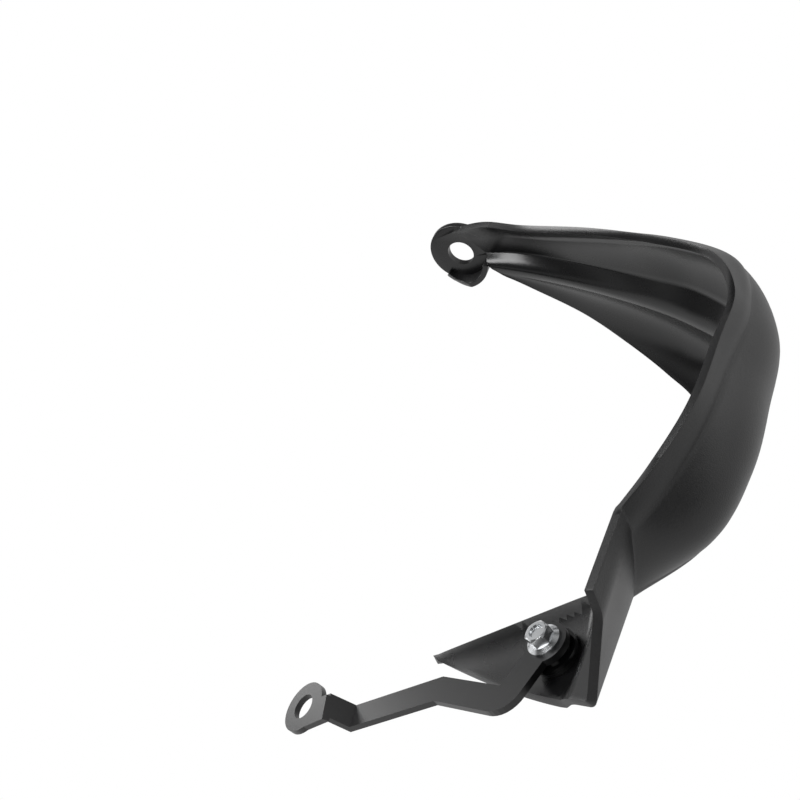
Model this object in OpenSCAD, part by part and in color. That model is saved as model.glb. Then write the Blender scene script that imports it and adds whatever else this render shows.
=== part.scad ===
// Motorcycle hand guard with its mirror-stem bracket, for the right hand end of the bar.
// Millimetres. Origin at the centre of the bar-end hole, +X outboard along the bar, -Y forward,
// +Z along the axis of the bracket's ring, towards the rimmed edge.

/* [View] */
// Which piece to draw

/* [Shell] */
// Wall thickness of the moulding
wall = 3.0; // [2:0.1:4.5]
// Diameter of the hole that the bar-end bolt passes
eye_hole_d = 14.5; // [8:0.5:20]
// Outer diameter of the round bar-end eye
eye_d = 35; // [30:1:46]
// Thickness of the bar-end eye
eye_thick = 3.6; // [3:0.1:6]
// Height of the lip under the eye, where the ledge runs round it
eye_lip_h = 8.5; // [3:0.5:10]
// How far the front face bulges between the rim band and the ledge
front_bulge = 7.5; // [0:0.5:10]
// How far the wide panel bulges between the ledge and its free edge
wide_bulge = 9; // [0:0.5:14]
// Rounding where the rim band meets the face
rim_round = 3; // [1:0.5:8]
// Rounding on the inner side of the ledge
ledge_round = 3.5; // [1:0.5:8]
// Drop from the ledge to the flap, at the inboard edge
flap_drop = 3.5; // [0.5:0.5:7]
// Dip of the flap around the bolt
flap_sag = 5; // [0:0.5:7]
// Diameter of the boss that carries the bolt
boss_d = 17.5; // [15:0.5:24]

/* [Bracket] */
// Width of the steel strap
strap_w = 10.2; // [8:0.2:14]
// Thickness of the steel strap
strap_t = 2.7; // [2:0.1:4]
// Diameter of the round pad under the bolt
pad_d = 17; // [14:0.5:22]
// Hole for the mirror stem
ring_hole_d = 10.2; // [8:0.1:14]
// Outer diameter of the ring
ring_d = 21; // [17:0.5:28]
// Rise of the ring above the strap's fold
ring_rise = 10.8; // [6:0.2:16]

/* [Fastening] */
// Thread diameter of the flange bolt
bolt_d = 6; // [5:1:8]
// Width across flats of the bolt's hexagon
hex_af = 8.5; // [7:0.5:13]
// Height of the hexagon above the flange
hex_h = 4.4; // [4:0.1:7]
// Diameter of the bolt's flange
flange_d = 13; // [12:0.1:18]
// Thickness of the bolt's flange
flange_t = 1.5; // [1:0.1:3]
// Height of the stepped collar between strap and boss
collar_h = 3.2; // [2.5:0.1:6]
// Lean of the bolt and the strap from +Z, towards outboard
bolt_lean = 7.5; // [0:0.5:15]

/* [Hidden] */
$fn = 48;
eps = 0.01;
// The bolt's place on the strap's upper face; depths below that face are measured along the bolt.
bolt_at = [-207.1, -74.9, -56.2];
bolt_tip = 0.9;
clear_d = bolt_d + 0.6;
boss_top = -strap_t - collar_h;
boss_bottom = boss_top - 11;
insert_d = bolt_d + 4;
shank_l = strap_t + collar_h + 9;
collar_flange_d = boss_d + 1.5;
collar_sleeve_d = flange_d + 1.2;

// Guide lines of the moulding, at the middle of its wall. Each has one point per station:
// eye, arm root, arm, arm, arm end, outboard bend, front, front, front, inboard bend, kink, end.
rim_edge = [[1.8, -4, 13.4], [-7.5, -28, 11.1], [-23, -54, 5.5], [-36.5, -88, -5.5], [-49.5, -115, -15.5],
            [-64.5, -138, -24.5], [-88.3, -147.5, -28], [-117.2, -145.9, -25.2], [-146.2, -141.9, -23.4],
            [-168.2, -131.8, -23.6], [-182.3, -120.3, -25.4], [-213.5, -118.2, -22.8]];
rim_crease = [[1.8, -8, 8], [-6.3, -29, 5], [-18.5, -57, -3.5], [-31, -91, -14.5], [-42, -119, -25],
              [-61, -143, -34], [-89, -148.8, -35.8], [-118.5, -145.6, -32.2], [-147.6, -141, -30],
              [-170.3, -131, -30.5], [-184.8, -120.2, -31], [-216.8, -117.4, -30]];
ledge_outer = [[1.7, -12.6, -8], [-4.3, -32.5, -13.6], [-16, -62, -26.5], [-28, -94, -44.5], [-37, -114, -56.5],
               [-54.3, -130.5, -67.8], [-82.3, -137, -72.6], [-113.2, -135, -72.4], [-143, -131, -69.7],
               [-169.4, -123.5, -66.3], [-190.8, -104.4, -58.8], [-233, -103.5, -51.8]];
ledge_inner = [[-5.2, -12.8, -10.2], [-12, -31.5, -19], [-22, -60, -35.5], [-31, -88.5, -54.8],
               [-39.5, -106, -66.5], [-51, -118.5, -74], [-76, -123.5, -76], [-108, -120.5, -74.5],
               [-138.5, -113, -70.5], [-166, -103.5, -65], [-187, -93.5, -59.8], [-230.8, -93.4, -53.3]];
wide_edge = [[-8, -17, -18], [-10.6, -27, -30], [-12, -43.5, -58], [-19, -57, -82], [-29, -69, -101],
             [-42, -79, -114.5], [-65, -79, -121.3], [-98, -70, -121.8], [-129, -57.5, -116],
             [-158, -42.5, -106.5], [-185, -22, -85], [-205, -10.5, -65.5]];
// How much of the front bulge and of the wide panel's bulge each station has.
front_share = [0, 0, 0.1, 0.2, 0.3, 0.45, 0.85, 1.05, 1.3, 1.2, 0.1, 0];
wide_share = [0, 0.1, 0.35, 0.6, 0.85, 1, 1, 1, 0.9, 0.8, 0.6, 0.45];
last = len(rim_edge) - 1;
kink = last - 1;
steps = 5;
panel_cols = 6;
foot_min = 4;

function unit(v) = v / max(norm(v), 1e-9);
function mix(a, b, t) = a * (1 - t) + b * t;
// A smooth line through the points of a guide, up to the kink, and straight from there to the end.
function catmull(a, b, c, d, t) =
    0.5 * (2 * b + (c - a) * t + (2 * a - 5 * b + 4 * c - d) * t * t + (3 * b - a - 3 * c + d) * t * t * t);
function along(g, u) =
    let (i = min(floor(u), kink - 1), t = u - i)
    u >= kink ? mix(g[kink], g[last], u - kink)
    : catmull(i > 0 ? g[i - 1] : 2 * g[0] - g[1], g[i], g[i + 1],
              i + 2 <= kink ? g[i + 2] : 2 * g[i + 1] - g[i], t);

// A corner rounded over the length r on each side.
function rounded(a, p, b, r, n) =
    let (pa = p + unit(a - p) * min(r, norm(a - p) * 0.45), pb = p + unit(b - p) * min(r, norm(b - p) * 0.45))
    [for (i = [0:1:n - 1]) let (t = i / (n - 1)) mix(mix(pa, p, t), mix(p, pb, t), t)];
function bow(a, b, out, bulge, t) = mix(a, b, t) + out * bulge * 4 * t * (1 - t);
// The foot of the ledge, where the wide panel starts: it drops to the flap at the inboard end.
function foot_at(u, f, w, out) =
    mix(f, w, u < kink ? max(0.12, foot_min / norm(w - f)) : 0.07)
      + out * flap_drop * (u < kink ? 0 : 0.3 + 0.7 * (u - kink));
function go_at(g, u) = let (d = u < kink ? 0.05 : -0.05) unit((along(g, u + d) - along(g, u)) / d);
function panel_point(u, t) =
    let (f = along(ledge_inner, u), w = along(wide_edge, u), out = unit(cross(go_at(ledge_inner, u), w - f)))
    bow(foot_at(u, f, w, out), w, out, wide_bulge * along(wide_share, u), t);
// The flap is folded down along the line from the kink's foot to the tip of the moulding.
tip_round = [3, 4, -4];
function flap_point(s, t) =
    t <= s ? mix(panel_point(kink, 0), panel_point(last, t / max(s, eps)), s)
      - [0.1, 0, 1] * flap_sag * 4 * s * (1 - s) * (1 - t / max(s, eps))
    : mix(panel_point(kink, (t - s) / (1 - s)), panel_point(last, 1), s)
      + tip_round * 4 * s * (1 - s) * (t - s) / (1 - s);

// One section across the moulding, from the rim edge to the wide panel's free edge.
function section(u) =
    let (r = along(rim_edge, u), c = along(rim_crease, u), s = along(ledge_outer, u),
         f = along(ledge_inner, u), foot = u <= kink ? panel_point(u, 0) : flap_point(u - kink, 0),
         out = unit(cross(go_at(rim_crease, u), s - c)),
         c_arc = rounded(r, c, s, rim_round, 4), s_arc = rounded(c, s, f, 1.8, 3),
         f_arc = rounded(s, f, foot, ledge_round, 4))
    concat([r, mix(r, c_arc[0], 0.5)], c_arc,
           [for (i = [1:1:4]) bow(c_arc[3], s_arc[0], out, front_bulge * along(front_share, u), i / 5)],
           s_arc, f_arc,
           [for (i = [0:1:panel_cols])
               u <= kink ? panel_point(u, i / panel_cols) : flap_point(u - kink, i / panel_cols)]);

rows = concat([for (i = [0:1:kink * steps - 1]) i / steps],
              [for (i = [0:1:panel_cols]) kink + i / panel_cols]);
mid = [for (u = rows) section(u)];
nr = len(mid);
nc = len(mid[0]);
function across(i, j) = unit(mid[i][j + 1] - mid[i][j]);
function forth(i, j) = unit(mid[min(i + 1, nr - 1)][j] - mid[max(i - 1, 0)][j]);
// Half the wall, square to the strips on both sides of a point.
function half_wall(i, j) =
    let (a = unit(cross(across(i, max(j - 1, 0)), forth(i, j))),
         b = unit(cross(across(i, min(j, nc - 2)), forth(i, j))))
    (a + b) / (1 + max(a * b, -0.2)) * wall / 2;

function grid_faces(base, flip) =
    [for (i = [0:1:nr - 2], j = [0:1:nc - 2])
        let (a = base + i * nc + j, b = a + 1, c = a + nc + 1, d = a + nc)
        each (flip ? [[a, c, b], [a, d, c]] : [[a, b, c], [a, c, d]])];
// Strips that close the wall along an edge of the grid, between the outer and the inner face.
function edge_faces(line, flip) =
    [for (k = [0:1:len(line) - 2])
        let (a = line[k], b = line[k + 1], n = nr * nc)
        each (flip ? [[a, b, b + n], [a, b + n, a + n]] : [[a, b + n, b], [a, a + n, b + n]])];

module sheet() {
    outer = [for (i = [0:1:nr - 1], j = [0:1:nc - 1]) mid[i][j] + half_wall(i, j)];
    inner = [for (i = [0:1:nr - 1], j = [0:1:nc - 1]) mid[i][j] - half_wall(i, j)];
    rim = [for (i = [0:1:nr - 1]) i * nc];
    free = [for (i = [0:1:nr - 1]) i * nc + nc - 1];
    start = [for (j = [0:1:nc - 1]) j];
    end = [for (j = [0:1:nc - 1]) (nr - 1) * nc + j];
    polyhedron(points = concat(outer, inner),
               faces = concat(grid_faces(0, true), grid_faces(nr * nc, false),
                              edge_faces(rim, false), edge_faces(free, true),
                              edge_faces(start, true), edge_faces(end, false)));
}

// The frame of the bolt: origin on the strap's upper face, +Z out of the bolt's head.
module at_bolt() {
    translate(bolt_at)
        rotate([bolt_tip, bolt_lean, 0])
            children();
}

// The eye's disc, square to X, with the lip that runs on from the ledge round its underside.
module eye() {
    rotate([0, 90, 0])
        cylinder(d = eye_d, h = eye_thick, $fn = 96);
    difference() {
        rotate([0, 90, 0])
            translate([0, 0, -eye_lip_h])
                cylinder(d = eye_d - 0.1, h = eye_lip_h + eye_thick / 2, $fn = 96);
        rotate([0, 90, 0])
            translate([0, 0, -eye_lip_h - 1])
                cylinder(d = eye_d - 2 * wall, h = eye_lip_h + 1, $fn = 96);
        // Open above, and sloping away to nothing towards the back.
        translate([-eye_lip_h - 5, -eye_d, -eye_d * 0.16])
            cube([eye_lip_h + 5, 2 * eye_d, eye_d]);
        translate([-eye_lip_h, eye_d * 0.1, -eye_d])
            rotate([0, 0, -29])
                translate([-20, 0, 0])
                    cube([20, 2 * eye_d, 2 * eye_d]);
        translate([-eye_lip_h - 5, -eye_d - eye_d * 0.4, -eye_d])
            cube([eye_lip_h + 5, eye_d, 2 * eye_d]);
    }
}

module shell() {
    color("#1b1b1d")
    difference() {
        union() {
            sheet();
            eye();
            at_bolt()
                translate([0, 0, boss_bottom])
                    cylinder(d = boss_d, h = boss_top - boss_bottom, $fn = 72);
        }
        rotate([0, 90, 0])
            translate([0, 0, -20])
                cylinder(d = eye_hole_d, h = 40, $fn = 72);
        at_bolt()
            translate([0, 0, boss_bottom - 4])
                cylinder(d = insert_d, h = boss_top - boss_bottom + 5, $fn = 48);
    }
}

// The strap's centre line seen along the bolt: pad, rounded corner, elbow, fold.
strap_path = [[0, 0], [-23.1, 9.4], [-17.9, 42.5], [-29.6, 83.9]];
// One side of a path, at the distance h from it, with mitred corners.
function side(path, h) =
    [for (i = [0:1:len(path) - 1])
        let (a = unit(path[max(i, 1)] - path[max(i, 1) - 1]),
             b = unit(path[min(i + 1, len(path) - 1)] - path[min(i, len(path) - 2)]),
             m = [-a[1] - b[1], a[0] + b[0]])
        path[i] + m * h / (1 + a * b)];
// A circular rounding of radius r in the corner p between a and b.
function fillet(a, p, b, r) =
    let (ua = unit(a - p), ub = unit(b - p), half = acos(ua * ub) / 2, c = p + unit(ua + ub) * r / sin(half),
         f = p + ua * r / tan(half) - c, g = p + ub * r / tan(half) - c)
    [for (i = [0:1:8]) let (v = mix(f, g, i / 8)) c + unit(v) * r];

module strap_flat() {
    l = side(strap_path, strap_w / 2);
    r = side(strap_path, -strap_w / 2);
    difference() {
        translate([0, 0, -strap_t])
            linear_extrude(strap_t)
                union() {
                    circle(d = pad_d, $fn = 64);
                    polygon(concat([l[0]], fillet(l[0], l[1], l[2], strap_w * 1.1),
                                   fillet(l[1], l[2], l[3], 1.5), [l[3]],
                                   [r[3]], fillet(r[3], r[2], r[1], 1.5),
                                   fillet(r[2], r[1], r[0], 1.2), [r[0]]));
                }
        translate([0, 0, -strap_t - 1])
            cylinder(d = clear_d, h = strap_t + 2, $fn = 48);
    }
}

// The fold, the rise and the ring: points on the upper faces. The fold is square to the strap.
fold_dir = atan2(strap_path[2][0] - strap_path[3][0], strap_path[3][1] - strap_path[2][1]);
fold_at = bolt_at + [strap_path[3][0] * cos(bolt_lean), strap_path[3][1],
                     strap_path[3][1] * sin(bolt_tip) - strap_path[3][0] * sin(bolt_lean)];
fold_run = ring_rise * 0.56;
ring_z = fold_at[2] + ring_rise;
ahead = [-sin(fold_dir), cos(fold_dir)];
low_at = [fold_at[0], fold_at[1]];
neck_at = low_at + ahead * fold_run;
ring_at = neck_at + [0.5, 13.7];
fold_line = [cos(fold_dir), sin(fold_dir)] * (strap_w / 2 + 0.3);
lap = 2.5;

// A profile in the plane square to the fold, carried along it. Its origin is on the strap's upper face.
module along_fold(profile, width) {
    at_bolt()
        translate([strap_path[3][0], strap_path[3][1], 0])
            rotate([0, 0, fold_dir])
                rotate([90, 0, 90])
                    translate([0, 0, -width / 2])
                        linear_extrude(width)
                            polygon(profile);
}

// The rise leans with the strap, and the ring is level. Each ends where their upper faces meet.
module ring_end() {
    slope = [[-lap, 0], [0, 0], [fold_run, ring_rise] * 1.6];
    difference() {
        union() {
            intersection() {
                along_fold(concat(slope, [for (i = [2:-1:0]) side(slope, -strap_t)[i]]), strap_w);
                translate([low_at[0] - 30, low_at[1] - 30, fold_at[2] - 20])
                    cube([60, 60, ring_rise + 20 - strap_t / 2]);
            }
            intersection() {
                along_fold([[-fold_run, -ring_rise], [fold_run, ring_rise] * 2, [60, ring_rise * 2],
                            [60, -ring_rise]], 60);
                translate([0, 0, ring_z - strap_t])
                    linear_extrude(strap_t)
                        union() {
                            translate(ring_at)
                                circle(d = ring_d, $fn = 72);
                            polygon([neck_at - fold_line - ahead * 3, neck_at - fold_line, ring_at - [ring_d / 2, 0],
                                     ring_at, neck_at + fold_line + ahead * 5, neck_at + fold_line - ahead * 3]);
                        }
            }
        }
        translate([ring_at[0], ring_at[1], ring_z - strap_t - 1])
            cylinder(d = ring_hole_d, h = strap_t + 2, $fn = 64);
    }
}

module bracket() {
    color("#141415")
    union() {
        at_bolt()
            strap_flat();
        ring_end();
    }
}

module flange_bolt() {
    color("#c9ccd0")
    at_bolt()
        difference() {
            union() {
                rotate_extrude($fn = 72)
                    polygon([[0, 0], [flange_d / 2, 0], [flange_d / 2, flange_t * 0.7],
                             [hex_af / 2 + 0.6, flange_t + 0.5], [0, flange_t + 0.5]]);
                intersection() {
                    cylinder(r = hex_af / 2 / cos(30), h = flange_t + hex_h, $fn = 6);
                    rotate_extrude($fn = 72)
                        polygon([[0, 0], [hex_af, 0], [hex_af, flange_t + hex_h - 2.6],
                                 [hex_af / 2 - 0.4, flange_t + hex_h], [0, flange_t + hex_h]]);
                }
                translate([0, 0, -shank_l])
                    cylinder(d = bolt_d, h = shank_l + eps, $fn = 48);
            }
            translate([0, 0, flange_t + hex_h - 0.9])
                rotate_extrude($fn = 48)
                    polygon([[0, 0], [hex_af * 0.28, 0], [hex_af * 0.34, 1.2], [0, 1.2]]);
        }
}

module spacer_collar() {
    color("#101011")
    at_bolt()
        difference() {
            union() {
                translate([0, 0, boss_top])
                    cylinder(d = collar_flange_d, h = collar_h * 0.45, $fn = 72);
                translate([0, 0, boss_top])
                    cylinder(d = collar_sleeve_d, h = collar_h, $fn = 72);
            }
            translate([0, 0, boss_top - 1])
                cylinder(d = clear_d, h = collar_h + 2, $fn = 48);
        }
}

module threaded_insert() {
    color("#b08d3e")
    at_bolt()
        difference() {
            translate([0, 0, boss_bottom])
                cylinder(d = insert_d, h = boss_top - boss_bottom, $fn = 48);
            translate([0, 0, boss_bottom - 1])
                cylinder(d = bolt_d, h = boss_top - boss_bottom + 2, $fn = 48);
        }
}

shell();
bracket();
flange_bolt();
spacer_collar();
threaded_insert();
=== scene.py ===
# %% [markdown]
# # A motorcycle hand guard: moulded shell, bent steel bracket, flange bolt
# The shell is one black plastic moulding. It runs from the round eye at the bar's end, along an arm,
# round the front of the hand and into a folded end that carries the bracket. The CAD frame gives every
# size. Here the shell gets its smooth moulded skin, and each piece gets the finish of its material.

# %% Frame
import math

import bmesh
import bpy
from mathutils import Matrix, Vector


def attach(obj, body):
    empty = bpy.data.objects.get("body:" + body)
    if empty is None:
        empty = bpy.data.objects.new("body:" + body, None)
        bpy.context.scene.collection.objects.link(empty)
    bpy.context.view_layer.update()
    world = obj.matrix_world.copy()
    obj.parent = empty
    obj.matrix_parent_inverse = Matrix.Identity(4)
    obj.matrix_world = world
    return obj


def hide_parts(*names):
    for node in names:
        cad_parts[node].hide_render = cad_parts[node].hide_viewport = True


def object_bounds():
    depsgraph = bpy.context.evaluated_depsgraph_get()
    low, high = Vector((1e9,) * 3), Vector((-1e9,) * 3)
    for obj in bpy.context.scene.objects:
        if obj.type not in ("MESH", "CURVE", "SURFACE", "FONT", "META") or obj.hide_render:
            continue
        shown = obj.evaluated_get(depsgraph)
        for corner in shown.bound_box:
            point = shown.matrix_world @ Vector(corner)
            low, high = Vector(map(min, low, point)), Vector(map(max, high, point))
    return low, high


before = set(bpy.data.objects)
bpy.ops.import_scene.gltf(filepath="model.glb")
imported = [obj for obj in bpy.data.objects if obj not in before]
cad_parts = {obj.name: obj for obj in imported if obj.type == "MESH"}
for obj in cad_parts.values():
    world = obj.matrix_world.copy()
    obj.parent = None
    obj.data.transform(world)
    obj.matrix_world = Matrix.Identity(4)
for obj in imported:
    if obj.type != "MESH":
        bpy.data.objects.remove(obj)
cad_box = [list(corner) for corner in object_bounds()]
MM = 0.001
print("CAD nodes:", sorted(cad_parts))
print("CAD box in mm:", [[round(v / MM, 1) for v in corner] for corner in cad_box])

# %% [markdown]
# ## Camera and light
# The picture looks down on the guard from the front left, close up, so lines that run away shrink
# fast. A camera in Blender looks along its own -Z, so three directions give its turn: right, up and
# back. Its place and turn were matched to the outlines in the photograph, with a 36 mm lens on a
# 36 mm sensor.

# %% Camera
eye_point = Vector((-0.3333, -0.2580, 0.1363))
right = Vector((0.338, -0.662, -0.669)).normalized()
up = Vector((0.716, -0.279, 0.639)).normalized()
back = right.cross(up).normalized()
up = back.cross(right).normalized()
camera_data = bpy.data.cameras.new("camera")
camera_data.lens = 36
camera_data.sensor_width = 36
camera_data.clip_start = 0.01
camera = bpy.data.objects.new("camera", camera_data)
camera.matrix_world = Matrix.Translation(eye_point) @ Matrix((right, up, back)).transposed().to_4x4()
bpy.context.collection.objects.link(camera)
bpy.context.scene.camera = camera
print("camera looks along", [round(v, 3) for v in -back])

# %% [markdown]
# ## Nodes
# Materials and the world are built from shader nodes. One small helper adds a node, fills in its
# settings and links what feeds it, so that each material below reads as a short list of steps.

# %% Node helper
def add_node(tree, kind, settings=None, **links):
    """Adds one node, sets its properties and sockets, and links other nodes' outputs to it."""
    made = tree.nodes.new(kind)
    for name, value in (settings or {}).items():
        if hasattr(made, name) and name not in made.inputs:
            setattr(made, name, value)
        else:
            made.inputs[name].default_value = value
    for name, source in links.items():
        tree.links.new(source, made.inputs[int(name[1:]) if name[1:].isdigit() else name.replace("_", " ")])
    return made


# %% [markdown]
# ## World and lamps
# A studio for black plastic is a pale room, because a dark shiny face shows mostly what it mirrors.
# Three answers come from one world. The camera sees plain white. Mirrored rays see broad pale panels
# with dark between them, like a photographer's tents, which draw the soft streaks on the bends.
# Scattered light sees a low even level. Four soft lamps do the rest.

# %% World
PLAIN_LEVEL = 0.16
scene = bpy.context.scene
scene.view_settings.view_transform = "Standard"
world = bpy.data.worlds.new("pale_room")
scene.world = world
world.use_nodes = True
tree = world.node_tree
tree.nodes.clear()
path = add_node(tree, "ShaderNodeLightPath")
seen = add_node(tree, "ShaderNodeMath", {"operation": "MAXIMUM"},
                _0=path.outputs["Is Camera Ray"], _1=path.outputs["Is Transmission Ray"])
where = add_node(tree, "ShaderNodeTexCoord").outputs["Generated"]
panels = add_node(tree, "ShaderNodeTexNoise", {"Scale": 1.6, "Detail": 0.0}, Vector=where)
level = add_node(tree, "ShaderNodeMapRange",
                 {"From Min": 0.44, "From Max": 0.56, "To Min": 0.04, "To Max": 0.8},
                 Value=panels.outputs["Fac"])
plain = add_node(tree, "ShaderNodeBackground", {"Color": (1, 1, 1, 1), "Strength": PLAIN_LEVEL})
tents = add_node(tree, "ShaderNodeBackground", {"Color": (1, 1, 1, 1)}, Strength=level.outputs[0])
room = add_node(tree, "ShaderNodeMixShader", None,
                _0=path.outputs["Is Glossy Ray"], _1=plain.outputs[0], _2=tents.outputs[0])
white = add_node(tree, "ShaderNodeBackground", {"Color": (1, 1, 1, 1), "Strength": 1.0})
both = add_node(tree, "ShaderNodeMixShader", None,
                _0=seen.outputs[0], _1=room.outputs[0], _2=white.outputs[0])
add_node(tree, "ShaderNodeOutputWorld", None, Surface=both.outputs[0])
print("world", world.name, "has", len(tree.nodes), "nodes")


# %% Lamps
def add_lamp(name, place, target, size, power):
    """Adds a round soft lamp that faces the target."""
    lamp = bpy.data.lights.new(name, "AREA")
    lamp.shape = "DISK"
    lamp.size = size
    lamp.energy = power
    holder = bpy.data.objects.new(name, lamp)
    turn = (Vector(place) - Vector(target)).to_track_quat("Z", "Y")
    holder.matrix_world = Matrix.Translation(place) @ turn.to_matrix().to_4x4()
    bpy.context.collection.objects.link(holder)
    print("lamp", name, "at", place)


middle = (-0.13, -0.07, -0.05)
add_lamp("soft_above", (-0.04, 0.12, 0.6), middle, 0.35, 3)
add_lamp("soft_front", (-0.55, -0.15, 0.5), middle, 0.5, 1.5)
add_lamp("strip_behind", (-0.06, 0.42, 0.2), (-0.2, 0.0, -0.05), 0.16, 0.3)
add_lamp("wide_front", (0.3, -0.95, -0.05), middle, 0.9, 3.0)

# %% [markdown]
# ## Colours
# A colour picked on a screen is an sRGB value, written here in hex. Blender calculates with linear
# values, so a single function turns every colour, and no colour is typed in linear form.

# %% Colour
def linear(hex_code):
    """Turns an sRGB hex code into Blender's linear colour with alpha 1."""
    parts = [int(hex_code[i:i + 2], 16) / 255 for i in (1, 3, 5)]
    return tuple(p / 12.92 if p <= 0.04045 else ((p + 0.055) / 1.055) ** 2.4 for p in parts) + (1,)


def new_material(name):
    """Makes a material with an empty node tree."""
    made = bpy.data.materials.new(name)
    made.use_nodes = True
    made.node_tree.nodes.clear()
    return made


# %% [markdown]
# ## Moulded plastic
# The guard is black polypropylene, coloured all through. Its outer face has a fine grain, about half
# a millimetre, that was etched into the mould and spreads the light. The face towards the hand is
# smoother and shows sharper highlights. The grain is a bump from noise, and a broader noise changes
# the roughness a little, because a moulding never cools quite evenly. Both have an IOR of 1.49.

# %% Plastic
def plastic(name, colour, rough, grain, depth):
    """Black moulded plastic, with the grain's width and depth in millimetres."""
    made = new_material(name)
    tree = made.node_tree
    where = add_node(tree, "ShaderNodeTexCoord").outputs["Object"]
    fine = add_node(tree, "ShaderNodeTexNoise", {"Scale": 1 / (grain * MM), "Detail": 2.0}, Vector=where)
    broad = add_node(tree, "ShaderNodeTexNoise", {"Scale": 45.0, "Detail": 3.0}, Vector=where)
    shade = add_node(tree, "ShaderNodeMapRange", {"To Min": rough - 0.04, "To Max": rough + 0.05},
                     Value=broad.outputs["Fac"])
    bump = add_node(tree, "ShaderNodeBump", {"Strength": 0.7, "Distance": depth * MM},
                    Height=fine.outputs["Fac"])
    surface = add_node(tree, "ShaderNodeBsdfPrincipled", {"Base Color": linear(colour), "IOR": 1.49},
                       Roughness=shade.outputs[0], Normal=bump.outputs[0])
    add_node(tree, "ShaderNodeOutputMaterial", None, Surface=surface.outputs[0])
    print("material", name)
    return made


grained_black = plastic("grained_black_polypropylene", "#101011", 0.45, 0.5, 0.12)
smooth_black = plastic("smooth_black_polypropylene", "#0f0f10", 0.27, 0.6, 0.02)

# %% [markdown]
# ## The shell's skin
# The shell is a thin sheet that bends two ways at once, which a plain box or drum can't give. A mould
# maker draws it from a few long lines: the rim, the crease under the rim's band, the two edges of the
# ledge, and the free edge. The CAD shell is a loft through those lines. The same lines are sampled
# more finely here, so that the light runs smoothly over the bends.

# %% Guide lines
WALL = 3.0
FRONT_BULGE, WIDE_BULGE = 7.5, 9.0
# The wide panel starts at a share of its height past the ridge, and never nearer than FOOT_MIN.
FOOT_SHARE, FOOT_MIN, FLAP_FOOT_SHARE = 0.12, 4.0, 0.07
FLAP_DROP, FLAP_SAG = 3.5, 5.0
FLAP_SAG_WAY, FLAP_BOW = Vector((0.1, 0, 1)), Vector((3, 4, -4))
GUIDES = {
    "rim": [(1.8, -4, 13.4), (-7.5, -28, 11.1), (-23, -54, 5.5), (-36.5, -88, -5.5),
            (-49.5, -115, -15.5), (-64.5, -138, -24.5), (-88.3, -147.5, -28), (-117.2, -145.9, -25.2),
            (-146.2, -141.9, -23.4), (-168.2, -131.8, -23.6), (-182.3, -120.3, -25.4),
            (-213.5, -118.2, -22.8)],
    "crease": [(1.8, -8, 8), (-6.3, -29, 5), (-18.5, -57, -3.5), (-31, -91, -14.5),
               (-42, -119, -25), (-61, -143, -34), (-89, -148.8, -35.8), (-118.5, -145.6, -32.2),
               (-147.6, -141, -30), (-170.3, -131, -30.5), (-184.8, -120.2, -31), (-216.8, -117.4, -30)],
    "groove": [(1.7, -12.6, -8), (-4.3, -32.5, -13.6), (-16, -62, -26.5), (-28, -94, -44.5),
               (-37, -114, -56.5), (-54.3, -130.5, -67.8), (-82.3, -137, -72.6), (-113.2, -135, -72.4),
               (-143, -131, -69.7), (-169.4, -123.5, -66.3), (-190.8, -104.4, -58.8), (-233, -103.5, -51.8)],
    "ridge": [(-5.2, -12.8, -10.2), (-12, -31.5, -19), (-22, -60, -35.5), (-31, -88.5, -54.8),
              (-39.5, -106, -66.5), (-51, -118.5, -74), (-76, -123.5, -76), (-108, -120.5, -74.5),
              (-138.5, -113, -70.5), (-166, -103.5, -65), (-187, -93.5, -59.8), (-230.8, -93.4, -53.3)],
    "free": [(-8, -17, -18), (-10.6, -27, -30), (-12, -43.5, -58), (-19, -57, -82),
             (-29, -69, -101), (-42, -79, -114.5), (-65, -79, -121.3), (-98, -70, -121.8),
             (-129, -57.5, -116), (-158, -42.5, -106.5), (-185, -22, -85), (-205, -10.5, -65.5)],
}
FRONT_SHARE = [0, 0, 0.1, 0.2, 0.3, 0.45, 0.85, 1.05, 1.3, 1.2, 0.1, 0]
WIDE_SHARE = [0, 0.1, 0.35, 0.6, 0.85, 1, 1, 1, 0.9, 0.8, 0.6, 0.45]
LAST = 11
KINK = 10
lines = {name: [Vector(p) for p in points] for name, points in GUIDES.items()}
lines["front_share"] = [Vector((v, 0, 0)) for v in FRONT_SHARE]
lines["wide_share"] = [Vector((v, 0, 0)) for v in WIDE_SHARE]
print(len(GUIDES), "guide lines of", LAST + 1, "points")

# %% [markdown]
# A guide line is a smooth curve through its points as far as the kink, and straight beyond it, where
# the inboard end is flat. A position u counts the points along it, so all lines can be asked for the
# same place. The curve is a cubic between each two points that leaves each point in the direction
# from the point before to the point after, so it passes through all of them.


# %% Along a guide line
def along(name, u):
    """The point at u on a guide line."""
    g = lines[name]
    if u >= KINK:
        return g[KINK].lerp(g[LAST], u - KINK)
    i = min(int(u), KINK - 1)
    t = u - i
    a = g[i - 1] if i > 0 else 2 * g[0] - g[1]
    b, c = g[i], g[i + 1]
    d = g[i + 2] if i + 2 <= KINK else 2 * g[i + 1] - g[i]
    bend = (2 * a - 5 * b + 4 * c - d) * t * t
    return 0.5 * (2 * b + (c - a) * t + bend + (3 * b - a - 3 * c + d) * t ** 3)


def heading(name, u):
    """The direction in which a guide line runs at u."""
    d = 0.05 if u < KINK else -0.05
    return ((along(name, u + d) - along(name, u)) / d).normalized()


print("rim at its middle, in mm:", [round(v, 1) for v in along("rim", KINK / 2)])

# %% [markdown]
# Between the lines the sheet is bowed, and at the lines it turns with a rounded corner. The inboard
# end is a flap folded along its diagonal: one triangle hangs from the ledge, the other from the kink.


# %% Panels and corners
def bowed(a, b, out, bulge, t):
    """A point on the arch from a to b that rises by the bulge in the middle."""
    return a.lerp(b, t) + out * bulge * 4 * t * (1 - t)


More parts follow.
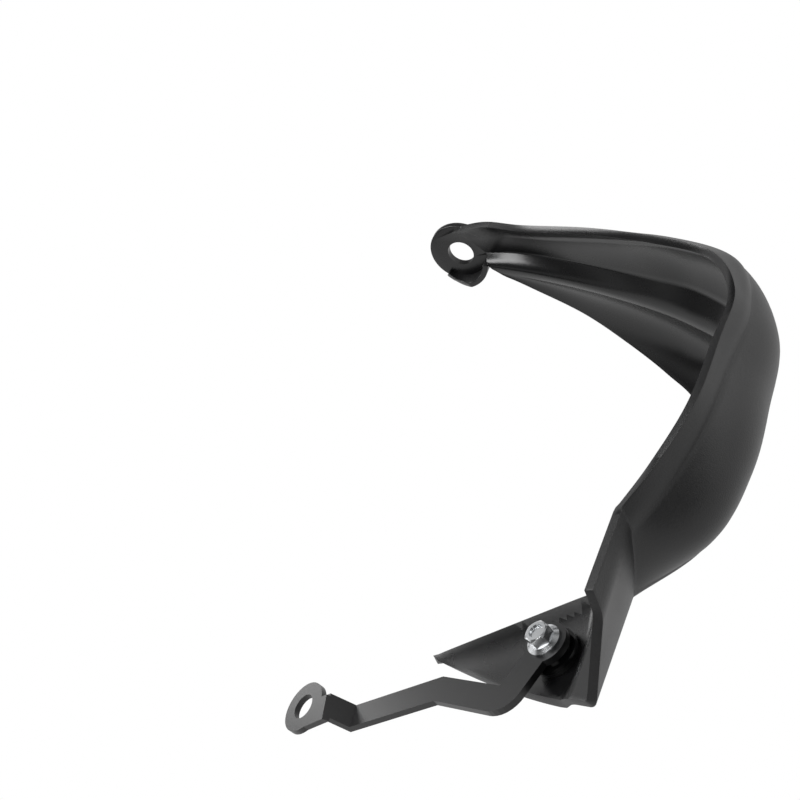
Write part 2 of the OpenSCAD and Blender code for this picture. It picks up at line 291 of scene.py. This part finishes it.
def rounded(a, p, b, r, n):
    """The corner at p between a and b, as n points of a curve that starts r from it."""
    pa = p + (a - p).normalized() * min(r, (a - p).length * 0.45)
    pb = p + (b - p).normalized() * min(r, (b - p).length * 0.45)
    return [pa.lerp(p, i / (n - 1)).lerp(p.lerp(pb, i / (n - 1)), i / (n - 1)) for i in range(n)]


def panel_point(u, t):
    """A point on the wide panel, with t from its foot at the ledge to its free edge."""
    f, w = along("ridge", u), along("free", u)
    out = heading("ridge", u).cross(w - f).normalized()
    share = max(FOOT_SHARE, FOOT_MIN / (w - f).length) if u < KINK else FLAP_FOOT_SHARE
    drop = 0 if u < KINK else 0.3 + 0.7 * (u - KINK)
    foot = f.lerp(w, share) + out * FLAP_DROP * drop
    return bowed(foot, w, out, WIDE_BULGE * along("wide_share", u).x, t)


def flap_point(s, t):
    """A point on the folded flap, s from the kink to the inboard edge. The fold is where t is s."""
    if t <= s:
        share = t / max(s, 0.01)
        sag = FLAP_SAG_WAY * FLAP_SAG * 4 * s * (1 - s) * (1 - share)
        return panel_point(KINK, 0).lerp(panel_point(LAST, share), s) - sag
    share = (t - s) / (1 - s)
    return panel_point(KINK, share).lerp(panel_point(LAST, 1), s) + FLAP_BOW * 4 * s * (1 - s) * share


print("flap's fold at its middle, in mm:", [round(v, 1) for v in flap_point(0.5, 0.5)])

# %% [markdown]
# A section is one row of points across the sheet, from the rim to the free edge. Every section has
# the same number of points, so that neighbours join into clean four-sided faces.

# %% Sections
RIM_R, STEP_R, LEDGE_R = 3, 1.8, 3.5
BAND, FRONT, PANEL = 4, 18, 24
ROWS_PER_POINT = 14


def section(u):
    """One row of points across the sheet at u."""
    r, c, s, f = (along(name, u) for name in ("rim", "crease", "groove", "ridge"))
    foot = panel_point(u, 0) if u <= KINK else flap_point(u - KINK, 0)
    out = heading("crease", u).cross(s - c).normalized()
    c_arc, s_arc = rounded(r, c, s, RIM_R, 8), rounded(c, s, f, STEP_R, 5)
    f_arc = rounded(s, f, foot, LEDGE_R, 8)
    bulge = FRONT_BULGE * along("front_share", u).x
    points = [r.lerp(c_arc[0], i / BAND) for i in range(BAND)] + c_arc
    points += [bowed(c_arc[-1], s_arc[0], out, bulge, i / FRONT) for i in range(1, FRONT)]
    points += s_arc + f_arc
    for i in range(PANEL + 1):
        t = i / PANEL
        points.append(panel_point(u, t) if u <= KINK else flap_point(u - KINK, t))
    return points


stations = [i / ROWS_PER_POINT for i in range(KINK * ROWS_PER_POINT)]
stations += [KINK + i / PANEL for i in range(PANEL + 1)]
sections = [section(u) for u in stations]
print(len(sections), "sections of", len(sections[0]), "points")

# %% [markdown]
# A flat grid from bmesh has just the right number of rows and columns, and each of its vertices moves
# to its place on the sections. That is less work, and less to go wrong, than a list of faces. The
# faces that the flap's fold crosses are split along it. Solidify then gives the sheet its 3 mm wall,
# half to each side, and Bevel takes the sharp corners off the wall's edges, as the mould does.

# %% From bmesh to object
def finish_mesh(name, bm, material=None):
    """Turns a bmesh into an object in the scene."""
    mesh = bpy.data.meshes.new(name)
    bm.to_mesh(mesh)
    bm.free()
    piece = bpy.data.objects.new(name, mesh)
    bpy.context.collection.objects.link(piece)
    if material:
        mesh.materials.append(material)
    return piece


def apply_modifiers(piece):
    """Fixes what the piece's modifiers made as its own mesh."""
    evaluated = piece.evaluated_get(bpy.context.evaluated_depsgraph_get())
    mesh = bpy.data.meshes.new_from_object(evaluated)
    piece.modifiers.clear()
    piece.data = mesh
    print(piece.name, "has", len(mesh.polygons), "faces")


# %% Sheet
bm = bmesh.new()
rows, columns = len(sections), len(sections[0])
bmesh.ops.create_grid(bm, x_segments=columns - 1, y_segments=rows - 1, size=1)
for vertex in bm.verts:
    i = round((vertex.co.y + 1) / 2 * (rows - 1))
    j = round((vertex.co.x + 1) / 2 * (columns - 1))
    vertex.co = sections[i][j] * MM
bm.verts.ensure_lookup_table()
first_row, first_column = KINK * ROWS_PER_POINT, columns - 1 - PANEL
for step in range(PANEL):
    low_vert = bm.verts[(first_row + step) * columns + first_column + step]
    high_vert = bm.verts[(first_row + step + 1) * columns + first_column + step + 1]
    shared = set(low_vert.link_faces) & set(high_vert.link_faces)
    bmesh.utils.face_split(shared.pop(), low_vert, high_vert)
shell = finish_mesh("moulded_shell", bm)

# %% Wall
wall = shell.modifiers.new("wall", "SOLIDIFY")
wall.thickness = WALL * MM
wall.offset = 0
wall.use_even_offset = True
soft_edge = shell.modifiers.new("soft_edge", "BEVEL")
soft_edge.width = 0.6 * MM
soft_edge.segments = 3
soft_edge.limit_method = "ANGLE"
soft_edge.angle_limit = math.radians(65)
apply_modifiers(shell)

# %% [markdown]
# ## Eye, lip and boss
# The eye is the round ear that the bar-end bolt clamps. Under it the ledge runs out into a lip, part
# of a ring whose edge falls away in a straight slope. The boss carries the bolt's insert. All three
# are turned shapes, so drums and a spun profile make them, and they are softened before they join.

# %% Places of the turned shapes
EYE_R, EYE_T, EYE_HOLE_R = 17.5, 3.6, 7.25
STRAP_T, COLLAR_H = 2.7, 3.2
BOSS_R, BOSS_H, INSERT_R = 8.75, 11, 5.0
BOSS_TOP = -(STRAP_T + COLLAR_H)
BOLT_AT = Vector((-207.1, -74.9, -56.2)) * MM
BOLT_LEAN, BOLT_TIP = 7.5, 0.9
bolt_frame = (Matrix.Translation(BOLT_AT) @ Matrix.Rotation(math.radians(BOLT_LEAN), 4, "Y")
              @ Matrix.Rotation(math.radians(BOLT_TIP), 4, "X"))
along_x = Matrix.Rotation(math.radians(90), 4, "Y")
print("boss's top is", round(-BOSS_TOP, 1), "mm under the strap's upper face")


# %% Drums
def add_drum(bm, radius, low, high, place, segments=96):
    """A closed drum from low to high on the place's own Z, in millimetres."""
    made = bmesh.ops.create_cone(bm, cap_ends=True, segments=segments, radius1=radius * MM,
                                 radius2=radius * MM, depth=(high - low) * MM)
    shift = Matrix.Translation((0, 0, (high + low) / 2 * MM))
    bmesh.ops.transform(bm, matrix=place @ shift, verts=made["verts"])


def soften(bm, width):
    """Bevels the edges that turn by more than 1.2 radians, which are the rims."""
    rims = [edge for edge in bm.edges if edge.calc_face_angle(0) > 1.2]
    bmesh.ops.bevel(bm, geom=rims, offset=width * MM, segments=3, profile=0.5, affect="EDGES", material=-1)


bm = bmesh.new()
add_drum(bm, EYE_R, 0, EYE_T, along_x)
soften(bm, 0.5)
disc = finish_mesh("eye_disc", bm)
bm = bmesh.new()
add_drum(bm, BOSS_R, BOSS_TOP - BOSS_H, BOSS_TOP, bolt_frame, 72)
soften(bm, 0.4)
boss = finish_mesh("bolt_boss", bm)
print("disc and boss made, of radius", EYE_R, "and", BOSS_R, "mm")

# %% [markdown]
# The lip starts as a small rectangle beside the eye's axis. Spin carries it a third of the way round,
# and the vertices on its lower edge then move up by a slope that follows the ledge.

# %% Lip
LIP_H, LIP_START, LIP_SWEEP = 8.5, -53, 120
SLOPE_FROM, SLOPE = 3.5, 0.554
bm = bmesh.new()
profile = [(EYE_R - WALL, -LIP_H), (EYE_R - 0.05, -LIP_H), (EYE_R - 0.05, 1.0), (EYE_R - WALL, 1.0)]
corners = [bm.verts.new((x * MM, 0, -r * MM)) for r, x in profile]
edges = [bm.edges.new((corners[k], corners[(k + 1) % 4])) for k in range(4)]
face = bm.faces.new(corners)
bmesh.ops.rotate(bm, verts=corners, cent=(0, 0, 0), matrix=Matrix.Rotation(math.radians(LIP_START), 3, "X"))
bmesh.ops.spin(bm, geom=[face] + edges + corners, cent=(0, 0, 0), axis=(1, 0, 0),
               angle=math.radians(LIP_SWEEP), steps=60)
for vertex in bm.verts:
    if vertex.co.x < 0:
        rise = max(0.0, vertex.co.y / MM - SLOPE_FROM) * SLOPE
        vertex.co.x = -max(0.05, LIP_H - rise) * MM
bmesh.ops.contextual_create(bm, geom=[edge for edge in bm.edges if edge.is_boundary])
bmesh.ops.recalc_face_normals(bm, faces=bm.faces)
print("open edges in the lip:", sum(edge.is_boundary for edge in bm.edges))
soften(bm, 0.4)
lip = finish_mesh("eye_lip", bm)

# %% [markdown]
# An exact boolean union joins the three shapes with the sheet, one after another, and a difference
# then bores the eye and the insert's seat. Real mouldings have no seam there, so the shell stays one
# piece. The bores come last, so that nothing fills them again.

# %% One skin
for part in (disc, lip, boss):
    union = shell.modifiers.new(part.name, "BOOLEAN")
    union.operation = "UNION"
    union.object = part
    union.solver = "EXACT"
    apply_modifiers(shell)
    bpy.data.objects.remove(part)

# %% Holes
EYE_REACH, SEAT_DEPTH, SEAT_CLEAR = 20, 16, 4
bm = bmesh.new()
add_drum(bm, EYE_HOLE_R, -EYE_REACH, EYE_REACH, along_x)
add_drum(bm, INSERT_R, BOSS_TOP - SEAT_DEPTH, BOSS_TOP + SEAT_CLEAR, bolt_frame)
drill = finish_mesh("drill", bm)
cut = shell.modifiers.new("holes", "BOOLEAN")
cut.operation = "DIFFERENCE"
cut.object = drill
cut.solver = "EXACT"
apply_modifiers(shell)
bpy.data.objects.remove(drill)

# %% [markdown]
# Faces that look towards the rider's hand take the smooth plastic, and the others take the grain.
# Shading is smooth everywhere, apart from edges that turn by more than 60 degrees.

# %% Shading of the skin
shell.data.materials.clear()
shell.data.materials.append(grained_black)
shell.data.materials.append(smooth_black)
hand = Vector((-0.125, -0.02, -0.03))
for polygon in shell.data.polygons:
    polygon.use_smooth = True
    polygon.material_index = 1 if polygon.normal.dot(hand - polygon.center) > 0 else 0
shell.data.set_sharp_from_angle(angle=math.radians(60))
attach(shell, "root")
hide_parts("shell")
print("shell triangles:", sum(len(p.vertices) - 2 for p in shell.data.polygons))

# %% [markdown]
# ## Metal pieces
# The bracket is mild steel, cut, folded and painted satin black. The bolt is zinc plated and bright,
# with the slightly uneven sheen of a barrel-plated screw. The collar is gloss black, and the insert
# in the boss is turned brass. Their shapes are the CAD's own nodes, which only need a finish. Paint is
# a coloured plastic to Blender, with a faint bump for its orange peel, and plating is a bare metal.

# %% Metals
def painted(name, colour, rough, peel):
    """Paint on metal, with the width of its orange peel in millimetres."""
    made = new_material(name)
    tree = made.node_tree
    where = add_node(tree, "ShaderNodeTexCoord").outputs["Object"]
    skin = add_node(tree, "ShaderNodeTexNoise", {"Scale": 1 / (peel * MM), "Detail": 1.0}, Vector=where)
    bump = add_node(tree, "ShaderNodeBump", {"Strength": 0.25, "Distance": 0.05 * MM},
                    Height=skin.outputs["Fac"])
    surface = add_node(tree, "ShaderNodeBsdfPrincipled",
                       {"Base Color": linear(colour), "IOR": 1.5, "Roughness": rough},
                       Normal=bump.outputs[0])
    add_node(tree, "ShaderNodeOutputMaterial", None, Surface=surface.outputs[0])
    print("material", name)
    return made


def plated(name, colour, rough):
    """Bare or plated metal, with a cloudy sheen."""
    made = new_material(name)
    tree = made.node_tree
    where = add_node(tree, "ShaderNodeTexCoord").outputs["Object"]
    cloud = add_node(tree, "ShaderNodeTexNoise", {"Scale": 600.0, "Detail": 3.0}, Vector=where)
    shade = add_node(tree, "ShaderNodeMapRange", {"To Min": rough - 0.05, "To Max": rough + 0.08},
                     Value=cloud.outputs["Fac"])
    surface = add_node(tree, "ShaderNodeBsdfPrincipled", {"Base Color": linear(colour), "Metallic": 1.0},
                       Roughness=shade.outputs[0])
    add_node(tree, "ShaderNodeOutputMaterial", None, Surface=surface.outputs[0])
    print("material", name)
    return made


# %% Finishes of the CAD nodes
finishes = {
    "bracket": painted("satin_black_enamel_on_steel", "#0e0e0f", 0.36, 0.7),
    "flange_bolt": plated("bright_zinc_plated_steel", "#d4d6d8", 0.2),
    "spacer_collar": painted("gloss_black_enamel", "#0c0c0d", 0.12, 1.2),
    "threaded_insert": plated("turned_brass", "#b8964a", 0.3),
}
for name, finish in finishes.items():
    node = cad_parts[name]
    for slot in node.material_slots:
        slot.material = finish
    print(name, "takes", finish.name)

# %% [markdown]
# ## Floor
# The product lies on a white table, which the picture shows as pure white, with no shadow on it. The
# table still lights the guard from below, and shiny faces mirror it as a pale glow.

# %% Floor
TABLE_GAP = 0.002
low = cad_box[0][2]
bm = bmesh.new()
bmesh.ops.create_grid(bm, x_segments=1, y_segments=1, size=3)
bmesh.ops.translate(bm, verts=bm.verts, vec=(0, 0, low - TABLE_GAP))
table = new_material("white_table")
tree = table.node_tree
path = add_node(tree, "ShaderNodeLightPath")
matt = add_node(tree, "ShaderNodeBsdfDiffuse", {"Color": linear("#f2f2f2")})
glow = add_node(tree, "ShaderNodeEmission", {"Color": (1, 1, 1, 1), "Strength": 0.9})
bright = add_node(tree, "ShaderNodeEmission", {"Color": (1, 1, 1, 1), "Strength": 1.0})
mixed = add_node(tree, "ShaderNodeMixShader", None,
                 _0=path.outputs["Is Glossy Ray"], _1=matt.outputs[0], _2=glow.outputs[0])
shown = add_node(tree, "ShaderNodeMixShader", None,
                 _0=path.outputs["Is Camera Ray"], _1=mixed.outputs[0], _2=bright.outputs[0])
add_node(tree, "ShaderNodeOutputMaterial", None, Surface=shown.outputs[0])
floor = finish_mesh("table_top", bm, table)
print("table is", TABLE_GAP / MM, "mm under the guard")
